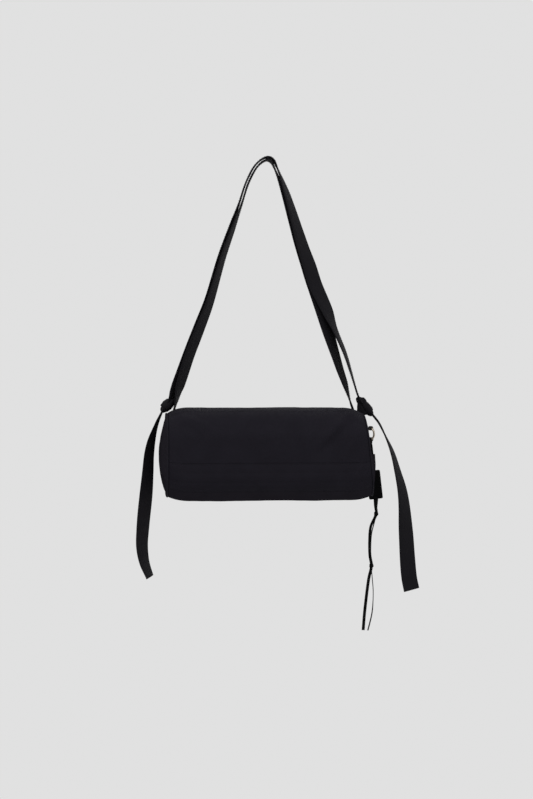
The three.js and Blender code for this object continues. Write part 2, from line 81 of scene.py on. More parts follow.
# ---- mesh helpers -------------------------------------------------------------------------
def new_object(name, points, faces, uvs=None, material=None):
    """A smooth mesh object from points in mm. uvs are in mm too, one for each point."""
    mesh = bpy.data.meshes.new(name)
    mesh.from_pydata((np.asarray(points) * MM).tolist(), [], [list(f) for f in faces])
    tidy = bmesh.new()
    tidy.from_mesh(mesh)
    bmesh.ops.recalc_face_normals(tidy, faces=tidy.faces)
    tidy.to_mesh(mesh)
    tidy.free()
    if uvs is not None:
        layer = mesh.uv_layers.new(name="cloth")
        order = np.zeros(len(mesh.loops), int)
        mesh.loops.foreach_get("vertex_index", order)
        layer.data.foreach_set("uv", (np.asarray(uvs) * MM)[order].astype(np.float32).ravel())
    mesh.shade_smooth()
    obj = bpy.data.objects.new(name, mesh)
    bpy.context.scene.collection.objects.link(obj)
    if material is not None:
        mesh.materials.append(material)
    return obj


def grid_faces(rows, cols, start=0, wrap_rows=False, wrap_cols=False):
    faces = []
    for i in range(rows if wrap_rows else rows - 1):
        for j in range(cols if wrap_cols else cols - 1):
            a = start + i * cols + j
            b = start + i * cols + (j + 1) % cols
            c = start + ((i + 1) % rows) * cols + (j + 1) % cols
            d = start + ((i + 1) % rows) * cols + j
            faces.append((a, b, c, d))
    return faces


def slab_parts(outer, inner, wrap_cols=False):
    """Points and faces of a closed sheet between two grids of the same shape."""
    rows, cols = outer.shape[:2]
    count = rows * cols
    faces = grid_faces(rows, cols, 0, False, wrap_cols)
    faces += [tuple(reversed(f)) for f in grid_faces(rows, cols, count, False, wrap_cols)]
    borders = [[i * cols + j for j in range(cols)] for i in (0, rows - 1)]
    if not wrap_cols:
        borders += [[i * cols + j for i in range(rows)] for j in (0, cols - 1)]
    for border in borders:
        steps = len(border) if wrap_cols else len(border) - 1
        for k in range(steps):
            a, b = border[k], border[(k + 1) % len(border)]
            faces.append((a, b, count + b, count + a))
    return np.concatenate([outer.reshape(-1, 3), inner.reshape(-1, 3)]), faces


def join_parts(parts):
    """One list of points, faces and uvs from several."""
    points, faces, uvs = [], [], []
    start = 0
    for part_points, part_faces, part_uvs in parts:
        points.append(part_points)
        uvs.append(part_uvs)
        faces += [tuple(start + i for i in f) for f in part_faces]
        start += len(part_points)
    return np.concatenate(points), faces, np.concatenate(uvs)


def tube_parts(rows, uv_rows=None):
    """A closed tube: each row is a closed outline, with a fan at each end."""
    rows = np.asarray(rows)
    count, around = rows.shape[:2]
    points = np.concatenate([rows.reshape(-1, 3), rows[:1].mean(1), rows[-1:].mean(1)])
    faces = grid_faces(count, around, 0, False, True)
    first, last = count * around, count * around + 1
    for j in range(around):
        k = (j + 1) % around
        faces.append((first, k, j))
        faces.append((last, (count - 1) * around + j, (count - 1) * around + k))
    if uv_rows is None:
        along_mm = np.concatenate([[0], np.cumsum(np.linalg.norm(np.diff(rows.mean(1), axis=0), axis=1))])
        step = np.linalg.norm(np.diff(rows, axis=1), axis=2).mean(0)
        around_mm = np.concatenate([[0], np.cumsum(step)])
        uv_rows = np.stack(np.meshgrid(around_mm, along_mm), -1)
    uvs = np.concatenate([uv_rows.reshape(-1, 2), uv_rows[:1].mean(1), uv_rows[-1:].mean(1)])
    return points, faces, uvs


def smooth_noise(shape_points, wave, seed, layers=5):
    """A smooth random height, about -1 to 1, from a few slanted waves over the given plane points."""
    draw = np.random.RandomState(seed)
    total = np.zeros(shape_points.shape[:-1])
    for _ in range(layers):
        angle = draw.uniform(0, TAU)
        length = wave * draw.uniform(0.7, 1.6)
        phase = draw.uniform(0, TAU)
        run = shape_points[..., 0] * math.cos(angle) + shape_points[..., 1] * math.sin(angle)
        total += np.sin(run * TAU / length + phase)
    return total / layers


# ---- materials ----------------------------------------------------------------------------
def shader(name, colour, roughness, **values):
    material = bpy.data.materials.new(name)
    material.use_nodes = True
    tree = material.node_tree
    principled = tree.nodes["Principled BSDF"]
    principled.inputs["Base Color"].default_value = (*colour, 1)
    principled.inputs["Roughness"].default_value = roughness
    for key, value in values.items():
        principled.inputs[key.replace("_", " ")].default_value = value
    return material, tree, principled


def link_math(tree, kind, a, b=None):
    node = tree.nodes.new("ShaderNodeMath")
    node.operation = kind
    for socket, value in zip(node.inputs, (a, b)):
        if value is None:
            continue
        if isinstance(value, (int, float)):
            socket.default_value = value
        else:
            tree.links.new(value, socket)
    return node.outputs[0]


def noise(tree, vector, scale, detail=3):
    node = tree.nodes.new("ShaderNodeTexNoise")
    node.inputs["Scale"].default_value = scale
    node.inputs["Detail"].default_value = detail
    tree.links.new(vector, node.inputs["Vector"])
    return node.outputs["Fac"]


def bump(tree, principled, height, strength, distance):
    node = tree.nodes.new("ShaderNodeBump")
    node.inputs["Strength"].default_value = strength
    node.inputs["Distance"].default_value = distance
    tree.links.new(height, node.inputs["Height"])
    tree.links.new(node.outputs["Normal"], principled.inputs["Normal"])


def colour_variation(tree, principled, factor, low, high):
    ramp = tree.nodes.new("ShaderNodeMix")
    ramp.data_type = "RGBA"
    tree.links.new(factor, ramp.inputs["Factor"])
    ramp.inputs["A"].default_value = (*low, 1)
    ramp.inputs["B"].default_value = (*high, 1)
    tree.links.new(ramp.outputs["Result"], principled.inputs["Base Color"])


def woven(name, colour, pitch_mm, roughness, twill=0.0, sheen=0.012, specular=0.1, depth=0.12):
    """Cloth woven on the piece's uvs, with threads pitch_mm apart, faint slubs and uneven dye."""
    values = {"Sheen Weight": sheen, "Sheen Roughness": 0.45, "Specular IOR Level": specular}
    material, tree, principled = shader(name, colour, roughness)
    for key, value in values.items():
        principled.inputs[key].default_value = value
    uv = tree.nodes.new("ShaderNodeUVMap")
    uv.uv_map = "cloth"
    split = tree.nodes.new("ShaderNodeSeparateXYZ")
    tree.links.new(uv.outputs["UV"], split.inputs[0])
    turns = TAU / (pitch_mm * MM)
    u = link_math(tree, "MULTIPLY", split.outputs["X"], turns)
    v = link_math(tree, "MULTIPLY", split.outputs["Y"], turns)
    lean = link_math(tree, "ADD", u, link_math(tree, "MULTIPLY", v, twill))
    weave = link_math(tree, "MULTIPLY", link_math(tree, "SINE", lean), link_math(tree, "SINE", v))
    place = tree.nodes.new("ShaderNodeTexCoord").outputs["Object"]
    slub = noise(tree, place, 900, 2)
    height = link_math(tree, "ADD", weave, link_math(tree, "MULTIPLY", slub, 1.2))
    bump(tree, principled, height, 0.55, depth * MM)
    dye = noise(tree, place, 38, 4)
    low = [c * 0.82 for c in colour]
    high = [c * 1.2 for c in colour]
    colour_variation(tree, principled, dye, low, high)
    rough = link_math(tree, "MULTIPLY_ADD", noise(tree, place, 120, 2), 0.16)
    rough.node.inputs[2].default_value = roughness - 0.08
    tree.links.new(rough, principled.inputs["Roughness"])
    return material


def leather(name, colour):
    material, tree, principled = shader(name, colour, 0.42)
    principled.inputs["Specular IOR Level"].default_value = 0.05
    place = tree.nodes.new("ShaderNodeTexCoord").outputs["Object"]
    grain = tree.nodes.new("ShaderNodeTexVoronoi")
    grain.inputs["Scale"].default_value = 1300
    tree.links.new(place, grain.inputs["Vector"])
    height = link_math(tree, "ADD", grain.outputs["Distance"], noise(tree, place, 400))
    bump(tree, principled, height, 0.5, 0.12 * MM)
    low, high = [c * 0.7 for c in colour], [c * 1.6 for c in colour]
    colour_variation(tree, principled, noise(tree, place, 150), low, high)
    return material


def metal(name, colour, roughness):
    material, tree, principled = shader(name, colour, roughness, Metallic=1.0)
    place = tree.nodes.new("ShaderNodeTexCoord").outputs["Object"]
    scratches = noise(tree, place, 2500, 4)
    bump(tree, principled, scratches, 0.2, 0.02 * MM)
    rough = link_math(tree, "MULTIPLY_ADD", noise(tree, place, 600), 0.2)
    rough.node.inputs[2].default_value = roughness - 0.1
    tree.links.new(rough, principled.inputs["Roughness"])
    return material


def plastic(name, colour, roughness):
    material, tree, principled = shader(name, colour, roughness)
    place = tree.nodes.new("ShaderNodeTexCoord").outputs["Object"]
    bump(tree, principled, noise(tree, place, 1800), 0.25, 0.03 * MM)
    low, high = [c * 0.8 for c in colour], [c * 1.3 for c in colour]
    colour_variation(tree, principled, noise(tree, place, 300), low, high)
    return material


SHELL_COLOUR = (0.0099, 0.0089, 0.0126)
SHELL = woven("shell cloth", SHELL_COLOUR, 0.55, 0.75, sheen=0.006, specular=0.04)
# Painted shade: a copy of the shell cloth for the base and the end panels, with no sheen or specular, its
# colour set to the darker shade that falls on them.
PAINTED_SHADE_CLOTH = woven("shell cloth with painted shade", (0.0138, 0.0124, 0.0160), 0.55, 0.78, sheen=0.0, specular=0.0)
PIPING = woven("piping cloth", SHELL_COLOUR, 0.5, 0.75, sheen=0.006, specular=0.04)
LINING = woven("lining cloth", (0.0140, 0.0130, 0.0155), 0.45, 0.65)
STRAP = woven("strap cloth", (0.0052, 0.0046, 0.0064), 0.55, 0.78)
TAPE = woven("zip tape", (0.0050, 0.0050, 0.0058), 0.7, 0.8, twill=1.0)
LACE = woven("lace braid", (0.0016, 0.0016, 0.0018), 0.7, 0.85, twill=1.0, sheen=0.0)
THREAD = woven("sewing thread", (0.0085, 0.0078, 0.0098), 0.25, 0.65, twill=2.0)
LEATHER = leather("leather", (0.0006, 0.0006, 0.0007))
COIL = plastic("zip coil", (0.011, 0.011, 0.012), 0.4)
ZIP_METAL = metal("zip metal", (0.045, 0.045, 0.048), 0.38)
RING_METAL = metal("ring metal", (0.36, 0.31, 0.25), 0.34)

# ---- the bag's outer surface, in mm, the same as the frame's -------------------------------
BAG_TOP, BAG_BOTTOM = -356, -487
HALF_DEPTH, CORNER, END_X, MIDDLE_X = 60, 42, 142.5, -1.2
ZIP_DIP = 6
BULGE = {-1: 11, 1: 8}
WALL = 1.6
FLAT_TOP = HALF_DEPTH - CORNER
QUARTER = CORNER * math.pi / 2
FLAT_SIDE = BAG_TOP - BAG_BOTTOM - 2 * CORNER
HALF_ROUND = 2 * FLAT_TOP + 2 * QUARTER + FLAT_SIDE
FULL_ROUND = 2 * HALF_ROUND
FLAP_SEAM, MAIN_SEAM, BASE_SEAM = 36.4, 117.9, 161.2
ZIP_MIDDLE, FLAP_HALF, ZIP_END_HALF, FACING_EDGE = -6, 90, 114, 6.8
STITCH_ROWS = (MAIN_SEAM + 1.8, 130.5, 144.5, BASE_SEAM - 2)
STITCH_LOW, STITCH_HIGH = -137, 138


def bag_point(x, s, inward, dip=None):
    """Points of the bag's section at x, s mm round from the top's middle by way of the front."""
    x, s, inward = np.broadcast_arrays(np.asarray(x, float), np.asarray(s, float), np.asarray(inward, float))
    ease = np.clip((np.abs(x) - 110) / (END_X - 110), 0, 1) ** 2
    half = HALF_DEPTH - 3 * ease - inward
    top = BAG_TOP - 7 * ease - inward
    if dip is None:
        dip = ZIP_DIP * np.clip((127 - np.abs(x)) / 9, 0, 1)
    bottom = BAG_BOTTOM + 5 * ease + inward
    radius = CORNER - inward
    turn = np.mod(s, FULL_ROUND)
    side = np.where(turn > HALF_ROUND, 1, -1)
    run = np.where(turn > HALF_ROUND, FULL_ROUND - turn, turn)
    a, b, c, d = FLAT_TOP, FLAT_TOP + QUARTER, FLAT_TOP + QUARTER + FLAT_SIDE, HALF_ROUND - FLAT_TOP
    up = (run - a) / CORNER
    down = (run - c) / CORNER
    y = np.select(
        [run < a, run < b, run < c, run < d],
        [run / FLAT_TOP * (half - radius), half - radius + radius * np.sin(up), half,
         half - radius + radius * np.cos(down)],
        (HALF_ROUND - run) / FLAT_TOP * (half - radius),
    )
    side_z = top - radius + (bottom + radius - top + radius) * (run - b) / FLAT_SIDE
    z = np.select(
        [run < a, run < b, run < c, run < d],
        [top - dip * (1 - np.clip(run / a, 0, 1) ** 2) ** 2, top - radius + radius * np.cos(up), side_z,
         bottom + radius - radius * np.sin(down)],
        bottom,
    )
    lean = np.where(x > 0, 0.11 * (-440 - z) * (x / END_X) ** 2, 0)
    return np.stack([x + MIDDLE_X + lean, side * y, z], -1)


def fold(x, s, start, end, width, height):
    """A soft ridge (or a dent, if height is negative) between two places on the (x, s) plane."""
    start, end = np.asarray(start, float), np.asarray(end, float)
    run = end - start
    t = np.clip(((x - start[0]) * run[0] + (s - start[1]) * run[1]) / (run @ run), 0, 1)
    away = np.hypot(x - start[0] - t * run[0], s - start[1] - t * run[1])
    fade = np.sin(np.pi * np.clip(t * 0.86 + 0.07, 0, 1)) ** 0.6
    return height * np.exp(-((away / width) ** 2)) * fade


def relief(x, s):
    """How far the cloth stands out from the plain surface: folds, slack, puckers and creases."""
    turn = np.mod(s, FULL_ROUND)
    front = turn < HALF_ROUND
    run = np.where(front, turn, FULL_ROUND - turn)
    x = np.broadcast_to(x, run.shape)
    plane = np.stack([x, np.where(front, run, run + 700)], -1)
    high = 0.55 * smooth_noise(plane * [1, 1.6], 95, 3) + 0.28 * smooth_noise(plane * [1, 1.4], 38, 4)
    high = high + 0.10 * smooth_noise(plane, 15, 5)
    slack = -1.7 * np.exp(-(((run - 68) / 10) ** 2)) * np.clip(1 - (np.abs(x + 25) / 105) ** 2, 0, 1)
    high = high + slack
    for start, end, width, height in (
        ((126, 40), (72, 90), 7.5, 2.6),
        ((121, 56), (70, 104), 7.0, -2.3),
        ((134, 62), (104, 112), 5.0, 0.9),
        ((-132, 44), (-86, 68), 5.5, 1.6),
        ((-134, 55), (-94, 82), 5.0, -1.5),
        ((-139, 84), (-118, 130), 4.0, -0.7),
        ((138, 100), (116, 150), 4.0, 0.7),
    ):
        high = high + fold(x, run, start, end, width, height)
    for seam, reach in ((MAIN_SEAM, 7), (BASE_SEAM, 6), (FLAP_SEAM, 5)):
        near = np.exp(-(((run - seam) / reach) ** 2))
        high = high + near * 0.16 * smooth_noise(np.stack([x, 0 * x], -1), 13, int(seam))
    for row in STITCH_ROWS:
        high = high - 0.30 * np.exp(-(((run - row) / 1.5) ** 2))
    between = np.clip((run - STITCH_ROWS[0]) / (STITCH_ROWS[-1] - STITCH_ROWS[0]), 0, 1)
    inside = (run > STITCH_ROWS[0]) & (run < STITCH_ROWS[-1])
    high = high + np.where(inside, 0.25 * np.abs(np.sin(between * 3 * np.pi)), 0)
    toward_end = np.clip((END_X - 2 - np.abs(x)) / 16, 0, 1)
    pucker = 0.35 * (1 - toward_end) * np.sin(run * TAU / 17 + 1.1 * np.sin(run / 19))
    shoulder = 1.2 * (1 - toward_end) ** 2
    return high * np.sqrt(toward_end) + pucker * toward_end - shoulder


def edge_round(distance, radius=0.28):
    """How far a sewn edge turns under, at a distance from that edge."""
    share = np.clip(1 - distance / radius, 0, 1)
    return radius * (1 - np.sqrt(1 - share**2))


def edge_steps(start, end, count):
    """Steps from start to end with extra ones close to both, where a sewn edge turns under."""
    middle = np.linspace(start + 1.3, end - 1.3, count)
    return np.concatenate([[start, start + 0.35, start + 0.8], middle, [end - 0.8, end - 0.35, end]])


def cloth_panel(s0, s1, x0, x1, step=1.7, depth=0.0, thick=WALL, use_relief=1.0, dip=None):
    """Points, faces and uvs of one cut panel, with its edges turned under at the seams."""
    cols = max(3, int((s1 - s0) / step))
    rows = max(3, int((x1 - x0) / step))
    s, x = edge_steps(s0, s1, cols), edge_steps(x0, x1, rows)
    grid_x, grid_s = np.meshgrid(x, s, indexing="ij")
    to_edge = np.minimum.reduce([grid_x - x0, x1 - grid_x, grid_s - s0, s1 - grid_s])
    soft = relief(grid_x, grid_s) * use_relief
    outer = bag_point(grid_x, grid_s, depth - soft + edge_round(to_edge), dip)
    inner = bag_point(grid_x, grid_s, depth + thick - soft, dip)
    points, faces = slab_parts(outer, inner)
    uv = np.stack([grid_s, grid_x], -1).reshape(-1, 2)
    return points, faces, np.concatenate([uv, uv])


def finish_piece(obj, body, nodes=()):
    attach(obj, body)
    if nodes:
        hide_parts(*nodes)
    return obj


# ---- outer panels -------------------------------------------------------------------------
PANEL_END = 141.1
SEAM_GAP = 0.04
for name, (low, high) in {
    "front_upper_panel": (FLAP_SEAM, MAIN_SEAM),
    "front_lower_panel": (MAIN_SEAM, BASE_SEAM),
    "base_panel": (BASE_SEAM, FULL_ROUND - BASE_SEAM),
    "back_lower_panel": (FULL_ROUND - BASE_SEAM, FULL_ROUND - MAIN_SEAM),
    "back_upper_panel": (FULL_ROUND - MAIN_SEAM, FULL_ROUND - FLAP_SEAM),
}.items():
    cloth = cloth_panel(low + SEAM_GAP, high - SEAM_GAP, -PANEL_END, PANEL_END)
    # The base panel takes the shell cloth copy with painted shade.
    cloth_material = PAINTED_SHADE_CLOTH if name == "base_panel" else SHELL
    finish_piece(new_object(f"cloth_{name}", *cloth, cloth_material), "bag", [name])

flap_low, flap_high = ZIP_MIDDLE - FLAP_HALF - MIDDLE_X, ZIP_MIDDLE + FLAP_HALF - MIDDLE_X
notch_low = ZIP_MIDDLE - ZIP_END_HALF
notch_high = ZIP_MIDDLE + ZIP_END_HALF
for name, near, far, notch in (
    ("top_end_left", flap_low - 0.3, -PANEL_END, notch_low),
    ("top_end_right", flap_high + 0.3, PANEL_END, notch_high + 2),
):
    reach = FLAP_SEAM - SEAM_GAP
    strips = []
    for s0, s1, xa, xb in (
        (-reach, reach, notch, far),
        (FACING_EDGE, reach, near, notch),
        (-reach, -FACING_EDGE, near, notch),
    ):
        strips.append(cloth_panel(s0, s1, min(xa, xb), max(xa, xb)))
    finish_piece(new_object(f"cloth_{name}", *join_parts(strips), SHELL), "bag", [name])

for name, low, high in (
    ("front", FACING_EDGE, FLAP_SEAM - SEAM_GAP),
    ("back", SEAM_GAP - FLAP_SEAM, -FACING_EDGE),
):
    cloth = cloth_panel(low, high, flap_low, flap_high)
    piece = new_object(f"cloth_zip_facing_{name}", *cloth, SHELL)
    finish_piece(piece, f"mouth_{name}", [f"zip_facing_{name}"])


# ---- end panels and piping ----------------------------------------------------------------
def end_panel(side):
    """A bulging end, slack in the middle and puckered where it meets the piping."""
    s = np.linspace(0, FULL_ROUND, 181)[:-1]
    shares = np.concatenate([[0.02, 0.1], np.linspace(0.2, 0.9, 18), [0.94, 0.97, 0.985, 0.995, 1.0]])
    grid_share, grid_s = np.meshgrid(shares, s, indexing="ij")
    rim = bag_point(side * END_X, grid_s, 2.2)
    middle = np.array([side * END_X + MIDDLE_X, 0, (BAG_TOP + BAG_BOTTOM) / 2])
    point = middle + (rim - middle) * grid_share[..., None]
    bulge = BULGE[side] * (1 - grid_share**2)
    flat = point[..., 1:]
    soft = 0.8 * smooth_noise(flat, 62, 21 + side) + 0.35 * smooth_noise(flat, 24, 23 + side)
    sag = 0.9 * np.exp(-(((point[..., 2] + 450) / 22) ** 2))
    pucker = 0.4 * np.sin(grid_s * TAU / 15 + np.sin(grid_s / 23)) * np.clip((grid_share - 0.72) / 0.2, 0, 1)
    high = bulge + (soft + sag + pucker) * np.clip((1 - grid_share) / 0.14, 0, 1)
    high = high - edge_round((1 - grid_share) * 60, 0.5)
    outer, inner = point.copy(), point.copy()
    outer[..., 0] = rim[..., 0] + side * (high - 0.2)
    inner[..., 0] = rim[..., 0] + side * (bulge - WALL - 0.3)
    points, faces = slab_parts(outer, inner, wrap_cols=True)
    ring, half = len(s), len(points) // 2
    joins_middle = lambda f: min(f) < ring and half <= max(f) < half + ring
    faces = [f for f in faces if not joins_middle(f)]
    faces += [tuple(range(ring - 1, -1, -1)), tuple(range(half, half + ring))]
    return points, faces, np.concatenate([flat.reshape(-1, 2)] * 2)


def piping(side):
    s = np.linspace(0, FULL_ROUND, 261)[:-1]
    centre = bag_point(side * END_X, s, 1.5 - 0.2 * smooth_noise(np.stack([s, 0 * s], -1), 40, 31))
    outward = bag_point(side * END_X, s, -1) - bag_point(side * END_X, s, 1)
    outward /= np.linalg.norm(outward, axis=-1, keepdims=True)
    angle = np.linspace(0, TAU, 17)[:-1]
    radius = 1.25 + 0.05 * np.sin(s * TAU / 9)
    ring = outward[:, None] * (radius[:, None] * np.cos(angle))[..., None]
    ring[..., 0] += side * (radius[:, None] * np.sin(angle) + 0.2)
    rows = centre[:, None] + ring
    faces = grid_faces(len(s), len(angle), 0, True, True)
    uv = np.stack(np.meshgrid(angle * 1.7, s), -1)
    return rows.reshape(-1, 3), faces, uv.reshape(-1, 2)


for name, side in (("left", -1), ("right", 1)):
    # The end panels take the shell cloth copy with painted shade.
    piece = new_object(f"cloth_{name}_end_panel", *end_panel(side), PAINTED_SHADE_CLOTH)
    finish_piece(piece, "bag", [f"{name}_end_panel"])
    piece = new_object(f"cloth_{name}_piping", *piping(side), PIPING)
    finish_piece(piece, "bag", [f"{name}_piping"])


# ---- stitches -----------------------------------------------------------------------------
def stitch_parts(centres, along, up, length=2.4, radius=0.16):
    """Small raised threads, one at each centre."""
    along = along / np.linalg.norm(along, axis=-1, keepdims=True)
    up = up / np.linalg.norm(up, axis=-1, keepdims=True)
    across = np.cross(along, up)
    rows = []
    for t in np.linspace(-1, 1, 5):
        lift = radius * (0.9 - 1.3 * t * t)
        size = radius * (1.05 - 0.45 * abs(t))
        middle = centres + along * (t * length / 2) + up * lift
        for angle in np.linspace(0, TAU, 7)[:-1]:
            rows.append(middle + across * (size * math.cos(angle)) + up * (size * math.sin(angle)))
    points = np.stack(rows, 1).reshape(len(centres), 5, 6, 3)
    parts = [tube_parts(one) for one in points]
    return join_parts(parts)


def stitch_row(s, x0, x1, pitch=3.3):
    """A row of stitches along the bag, laid on the cloth's folds."""
    x = np.arange(x0, x1, pitch)
    s = np.full_like(x, s)
    high = relief(x, s)
    centres = bag_point(x, s, -high)
    ahead = bag_point(x + 1, s, -relief(x + 1, s)) - bag_point(x - 1, s, -relief(x - 1, s))
    up = bag_point(x, s, -1) - bag_point(x, s, 1)
    return stitch_parts(centres, ahead, up)


front_rows = list(STITCH_ROWS)
back_rows = [FULL_ROUND - s for s in STITCH_ROWS]
flap_rows = [FLAP_SEAM + 2.2, FULL_ROUND - FLAP_SEAM - 2.2]
rows = [stitch_row(s, STITCH_LOW, STITCH_HIGH) for s in front_rows + back_rows + flap_rows]
finish_piece(new_object("panel_topstitching", *join_parts(rows), THREAD), "bag")
for name, side in (("front", 1), ("back", -1)):
    s = side * (FACING_EDGE + 1.9)
    piece = new_object(f"zip_topstitching_{name}", *stitch_row(s, flap_low + 2, flap_high - 2), THREAD)
    finish_piece(piece, f"mouth_{name}")


# ---- inside -------------------------------------------------------------------------------
LINING_END = 138.6
LINING_FOLD, ZIP_REACH = 35.6, 17.5


def lining_parts():
    """The lining: an open tube with a mouth, and its two ends."""
    outer, inner = WALL + 0.5, WALL + 1.3
    parts = []
    for s0, s1, x0, x1 in (
        (LINING_FOLD, FULL_ROUND - LINING_FOLD, -LINING_END, LINING_END),
        (ZIP_REACH, LINING_FOLD, -LINING_END, flap_low - 1),
        (-LINING_FOLD, -ZIP_REACH, -LINING_END, flap_low - 1),
        (ZIP_REACH, LINING_FOLD, flap_high + 1, LINING_END),
        (-LINING_FOLD, -ZIP_REACH, flap_high + 1, LINING_END),
        (-ZIP_REACH, ZIP_REACH, -LINING_END, notch_low - 2),
        (-ZIP_REACH, ZIP_REACH, notch_high + 4, LINING_END),
    ):
        parts.append(cloth_panel(s0, s1, x0, x1, 6, outer, inner - outer, 0.7, ZIP_DIP))
    for side in (-1, 1):
        s = np.linspace(0, FULL_ROUND, 81)[:-1]
        shares = np.linspace(0.03, 1, 12)
        grid_share, grid_s = np.meshgrid(shares, s, indexing="ij")
        rim = bag_point(side * 138.8, grid_s, inner, ZIP_DIP)
        middle = rim.mean((0, 1))
        point = middle + (rim - middle) * grid_share[..., None]
        point[..., 0] += 0.8 * smooth_noise(point[..., 1:], 40, 41 + side) * (1 - grid_share)
        back = point - [side * 0.8, 0, 0]
        points, faces = slab_parts(point, back, wrap_cols=True)
        parts.append((points, faces, points[:, 1:]))
    return join_parts(parts)


finish_piece(new_object("lining_cloth_bag", *lining_parts(), LINING), "bag", ["lining"])
board = cloth_panel(HALF_ROUND - 38, HALF_ROUND + 38, -128, 128, step=5, depth=3.4, thick=2, use_relief=0)
finish_piece(new_object("covered_base_board", *board, LINING), "bag", ["base_board"])
pocket = cloth_panel(96, 150, -60, 60, step=3, depth=3.6, thick=0.9, use_relief=0.7)
finish_piece(new_object("slip_pocket", *pocket, LINING), "bag", ["inner_pocket"])


# ---- ribbons ------------------------------------------------------------------------------
def catmull(points, cuts):
    """Points of a smooth line through `points`, `cuts` to a stretch, spaced as the frame's are."""
    points = np.asarray(points, float)
    padded = np.concatenate([[2 * points[0] - points[1]], points, [2 * points[-1] - points[-2]]])
    line = []
    for i in range(len(points) - 1):
        p0, p1, p2, p3 = padded[i : i + 4]
        d0, d1, d2 = (max(np.linalg.norm(b - a) ** 0.5, 1e-4) for a, b in ((p0, p1), (p1, p2), (p2, p3)))
        t1 = (p1 - p0) / d0 - (p2 - p0) / (d0 + d1) + (p2 - p1) / d1
        t2 = (p2 - p1) / d1 - (p3 - p1) / (d1 + d2) + (p3 - p2) / d2
        t1, t2 = t1 * d1, t2 * d1
        for k in range(cuts):
            t = k / cuts
            bend = -3 * p1 + 3 * p2 - 2 * t1 - t2
            swerve = 2 * p1 - 2 * p2 + t1 + t2
            line.append(p1 + t1 * t + bend * t**2 + swerve * t**3)
    line.append(points[-1])
    return np.array(line)


def ribbon(route, width, thick, cuts, around=24, slack=0.0, seed=1, groove=0.0, square=0.35):
    """A flat woven strip. Each route point is (x, y, z, twist degrees, shift mm, width share)."""
    full = [list(p) + [0, 0, 1][len(p) - 3 :] for p in route]
    full = np.array(full, float)
    line = catmull(full[:, :3], cuts)
    at = np.arange(len(line)) / cuts
    index = np.arange(len(full))
    twist, shift, share = (np.interp(at, index, full[:, k]) for k in (3, 4, 5))
    taps = cuts // 2 * 2 + 1
    kernel = np.ones(taps) / taps
    reach = len(kernel) // 2
    smooth = lambda v: np.convolve(np.pad(v, reach, mode="edge"), kernel, mode="valid")
    twist, shift, share = smooth(twist), smooth(shift), smooth(share)
    tangent = np.gradient(line, axis=0)
    tangent /= np.linalg.norm(tangent, axis=1, keepdims=True)
    aside = np.cross([0, 1, 0], tangent)
    aside /= np.linalg.norm(aside, axis=1, keepdims=True)
    turn = np.radians(twist)[:, None]
    normal = aside * np.cos(turn) + np.cross(tangent, aside) * np.sin(turn)
    across = np.cross(tangent, normal)
    run = np.concatenate([[0], np.cumsum(np.linalg.norm(np.diff(line, axis=0), axis=1))])
    line = line + normal * shift[:, None]
    angle = np.linspace(0, TAU, around + 1)[:-1]
    flat = np.sign(np.cos(angle)) * np.abs(np.cos(angle)) ** square
    lift = np.sign(np.sin(angle)) * np.abs(np.sin(angle)) ** 0.75
    half = (width / 2 * share)[:, None] * flat
    wave = slack * smooth_noise(np.stack(np.broadcast_arrays(run[:, None], half * 1.5), -1), 60, seed)
    edge = np.exp(-(((np.abs(flat) - 0.8) / 0.07) ** 2))
    high = (thick / 2) * lift * (1 - groove * edge) + wave
    rows = line[:, None] + across[:, None] * half[..., None] + normal[:, None] * high[..., None]
    uv_rows = np.stack(np.broadcast_arrays(half, run[:, None]), -1)
    return tube_parts(rows, uv_rows), line, normal, across, run


STRAP_WIDTH, STRAP_THICK, SPACING = 25, 2.4, 1.85
STRAP_STITCHES_OUT = 10.1
PAIR = [
    (-112, -280, -36), (-97, -241, -34), (-84, -206, -27), (-65, -141, -20), (-49.7, -97, -14),
    (-39.5, -68, -5), (-28.7, -35.5, 0), (-17, -14, 0), (-7, -5.2, 0), (0, -3.2, 0), (6, -6.5, 0),
    (11.5, -17, 6), (24.3, -49.7, 23), (41, -104, 41), (50, -132, 48), (58, -155, 55), (66, -180, 59),
]
SEWN_LEFT = [(-133.6, -359.5, -6), (-131, -350, -8), (-127.3, -334, -22), (-124.7, -324, -32)]
SEWN_RIGHT = [
    (78, -220, 54), (84.6, -243, 49), (95.2, -277, 36), (102.4, -300, 31), (110.2, -322, 24),
    (113.8, -334, 16), (118.2, -349, 4), (121.6, -359, 0),
]
TIE_LEFT = [(-140, -350, -18), (-135.8, -341, -24), (-133.5, -334, -30), (-130, -324, -33)]
TIE_RIGHT = [
    (85.4, -220, 46), (94.9, -243, 22), (109.3, -277, 16), (116.9, -300, 14), (123.6, -322, 9),
    (127.2, -334, 6), (130.5, -343, 2), (134, -350, 0),
]


def strand(name, left, right, shift, nodes, seed):
    """One shoulder strap with its rows of stitches, reaching the bag just above the knots."""
    flat = lambda p: (p[0], 0, p[1], p[2], 0, 1)
    route = [flat(p) for p in left] + [(x, 0, z, t, shift, 1) for x, z, t in PAIR] + [flat(p) for p in right]
    narrow = {0: 0.8, len(route) - 1: 0.8}
    route = [(*p[:5], narrow.get(i, 1)) for i, p in enumerate(route)]
    parts, line, normal, across, run = ribbon(route, STRAP_WIDTH, STRAP_THICK, 9, 32, 0.3, seed, 0.3)
    piece = new_object(name, *parts, STRAP)
    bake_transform(piece)
    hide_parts(*nodes)
    marks = np.arange(14, run[-1] - 14, 3.4)
    pick = lambda v, off=0: np.stack([np.interp(marks + off, run, v[:, k]) for k in range(3)], 1)
    ahead = pick(line, 1) - pick(line, -1)
    rows = []
    for side in (-1, 1):
        for face in (-1, 1):
            centres = pick(line) + pick(across) * side * STRAP_STITCHES_OUT
            centres = centres + pick(normal) * face * (STRAP_THICK / 2 + 0.05)
            rows.append(stitch_parts(centres, ahead, pick(normal) * face, 2.2, 0.13))
    threads = new_object(f"{name}_stitches", *join_parts(rows), THREAD)
    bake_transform(threads)


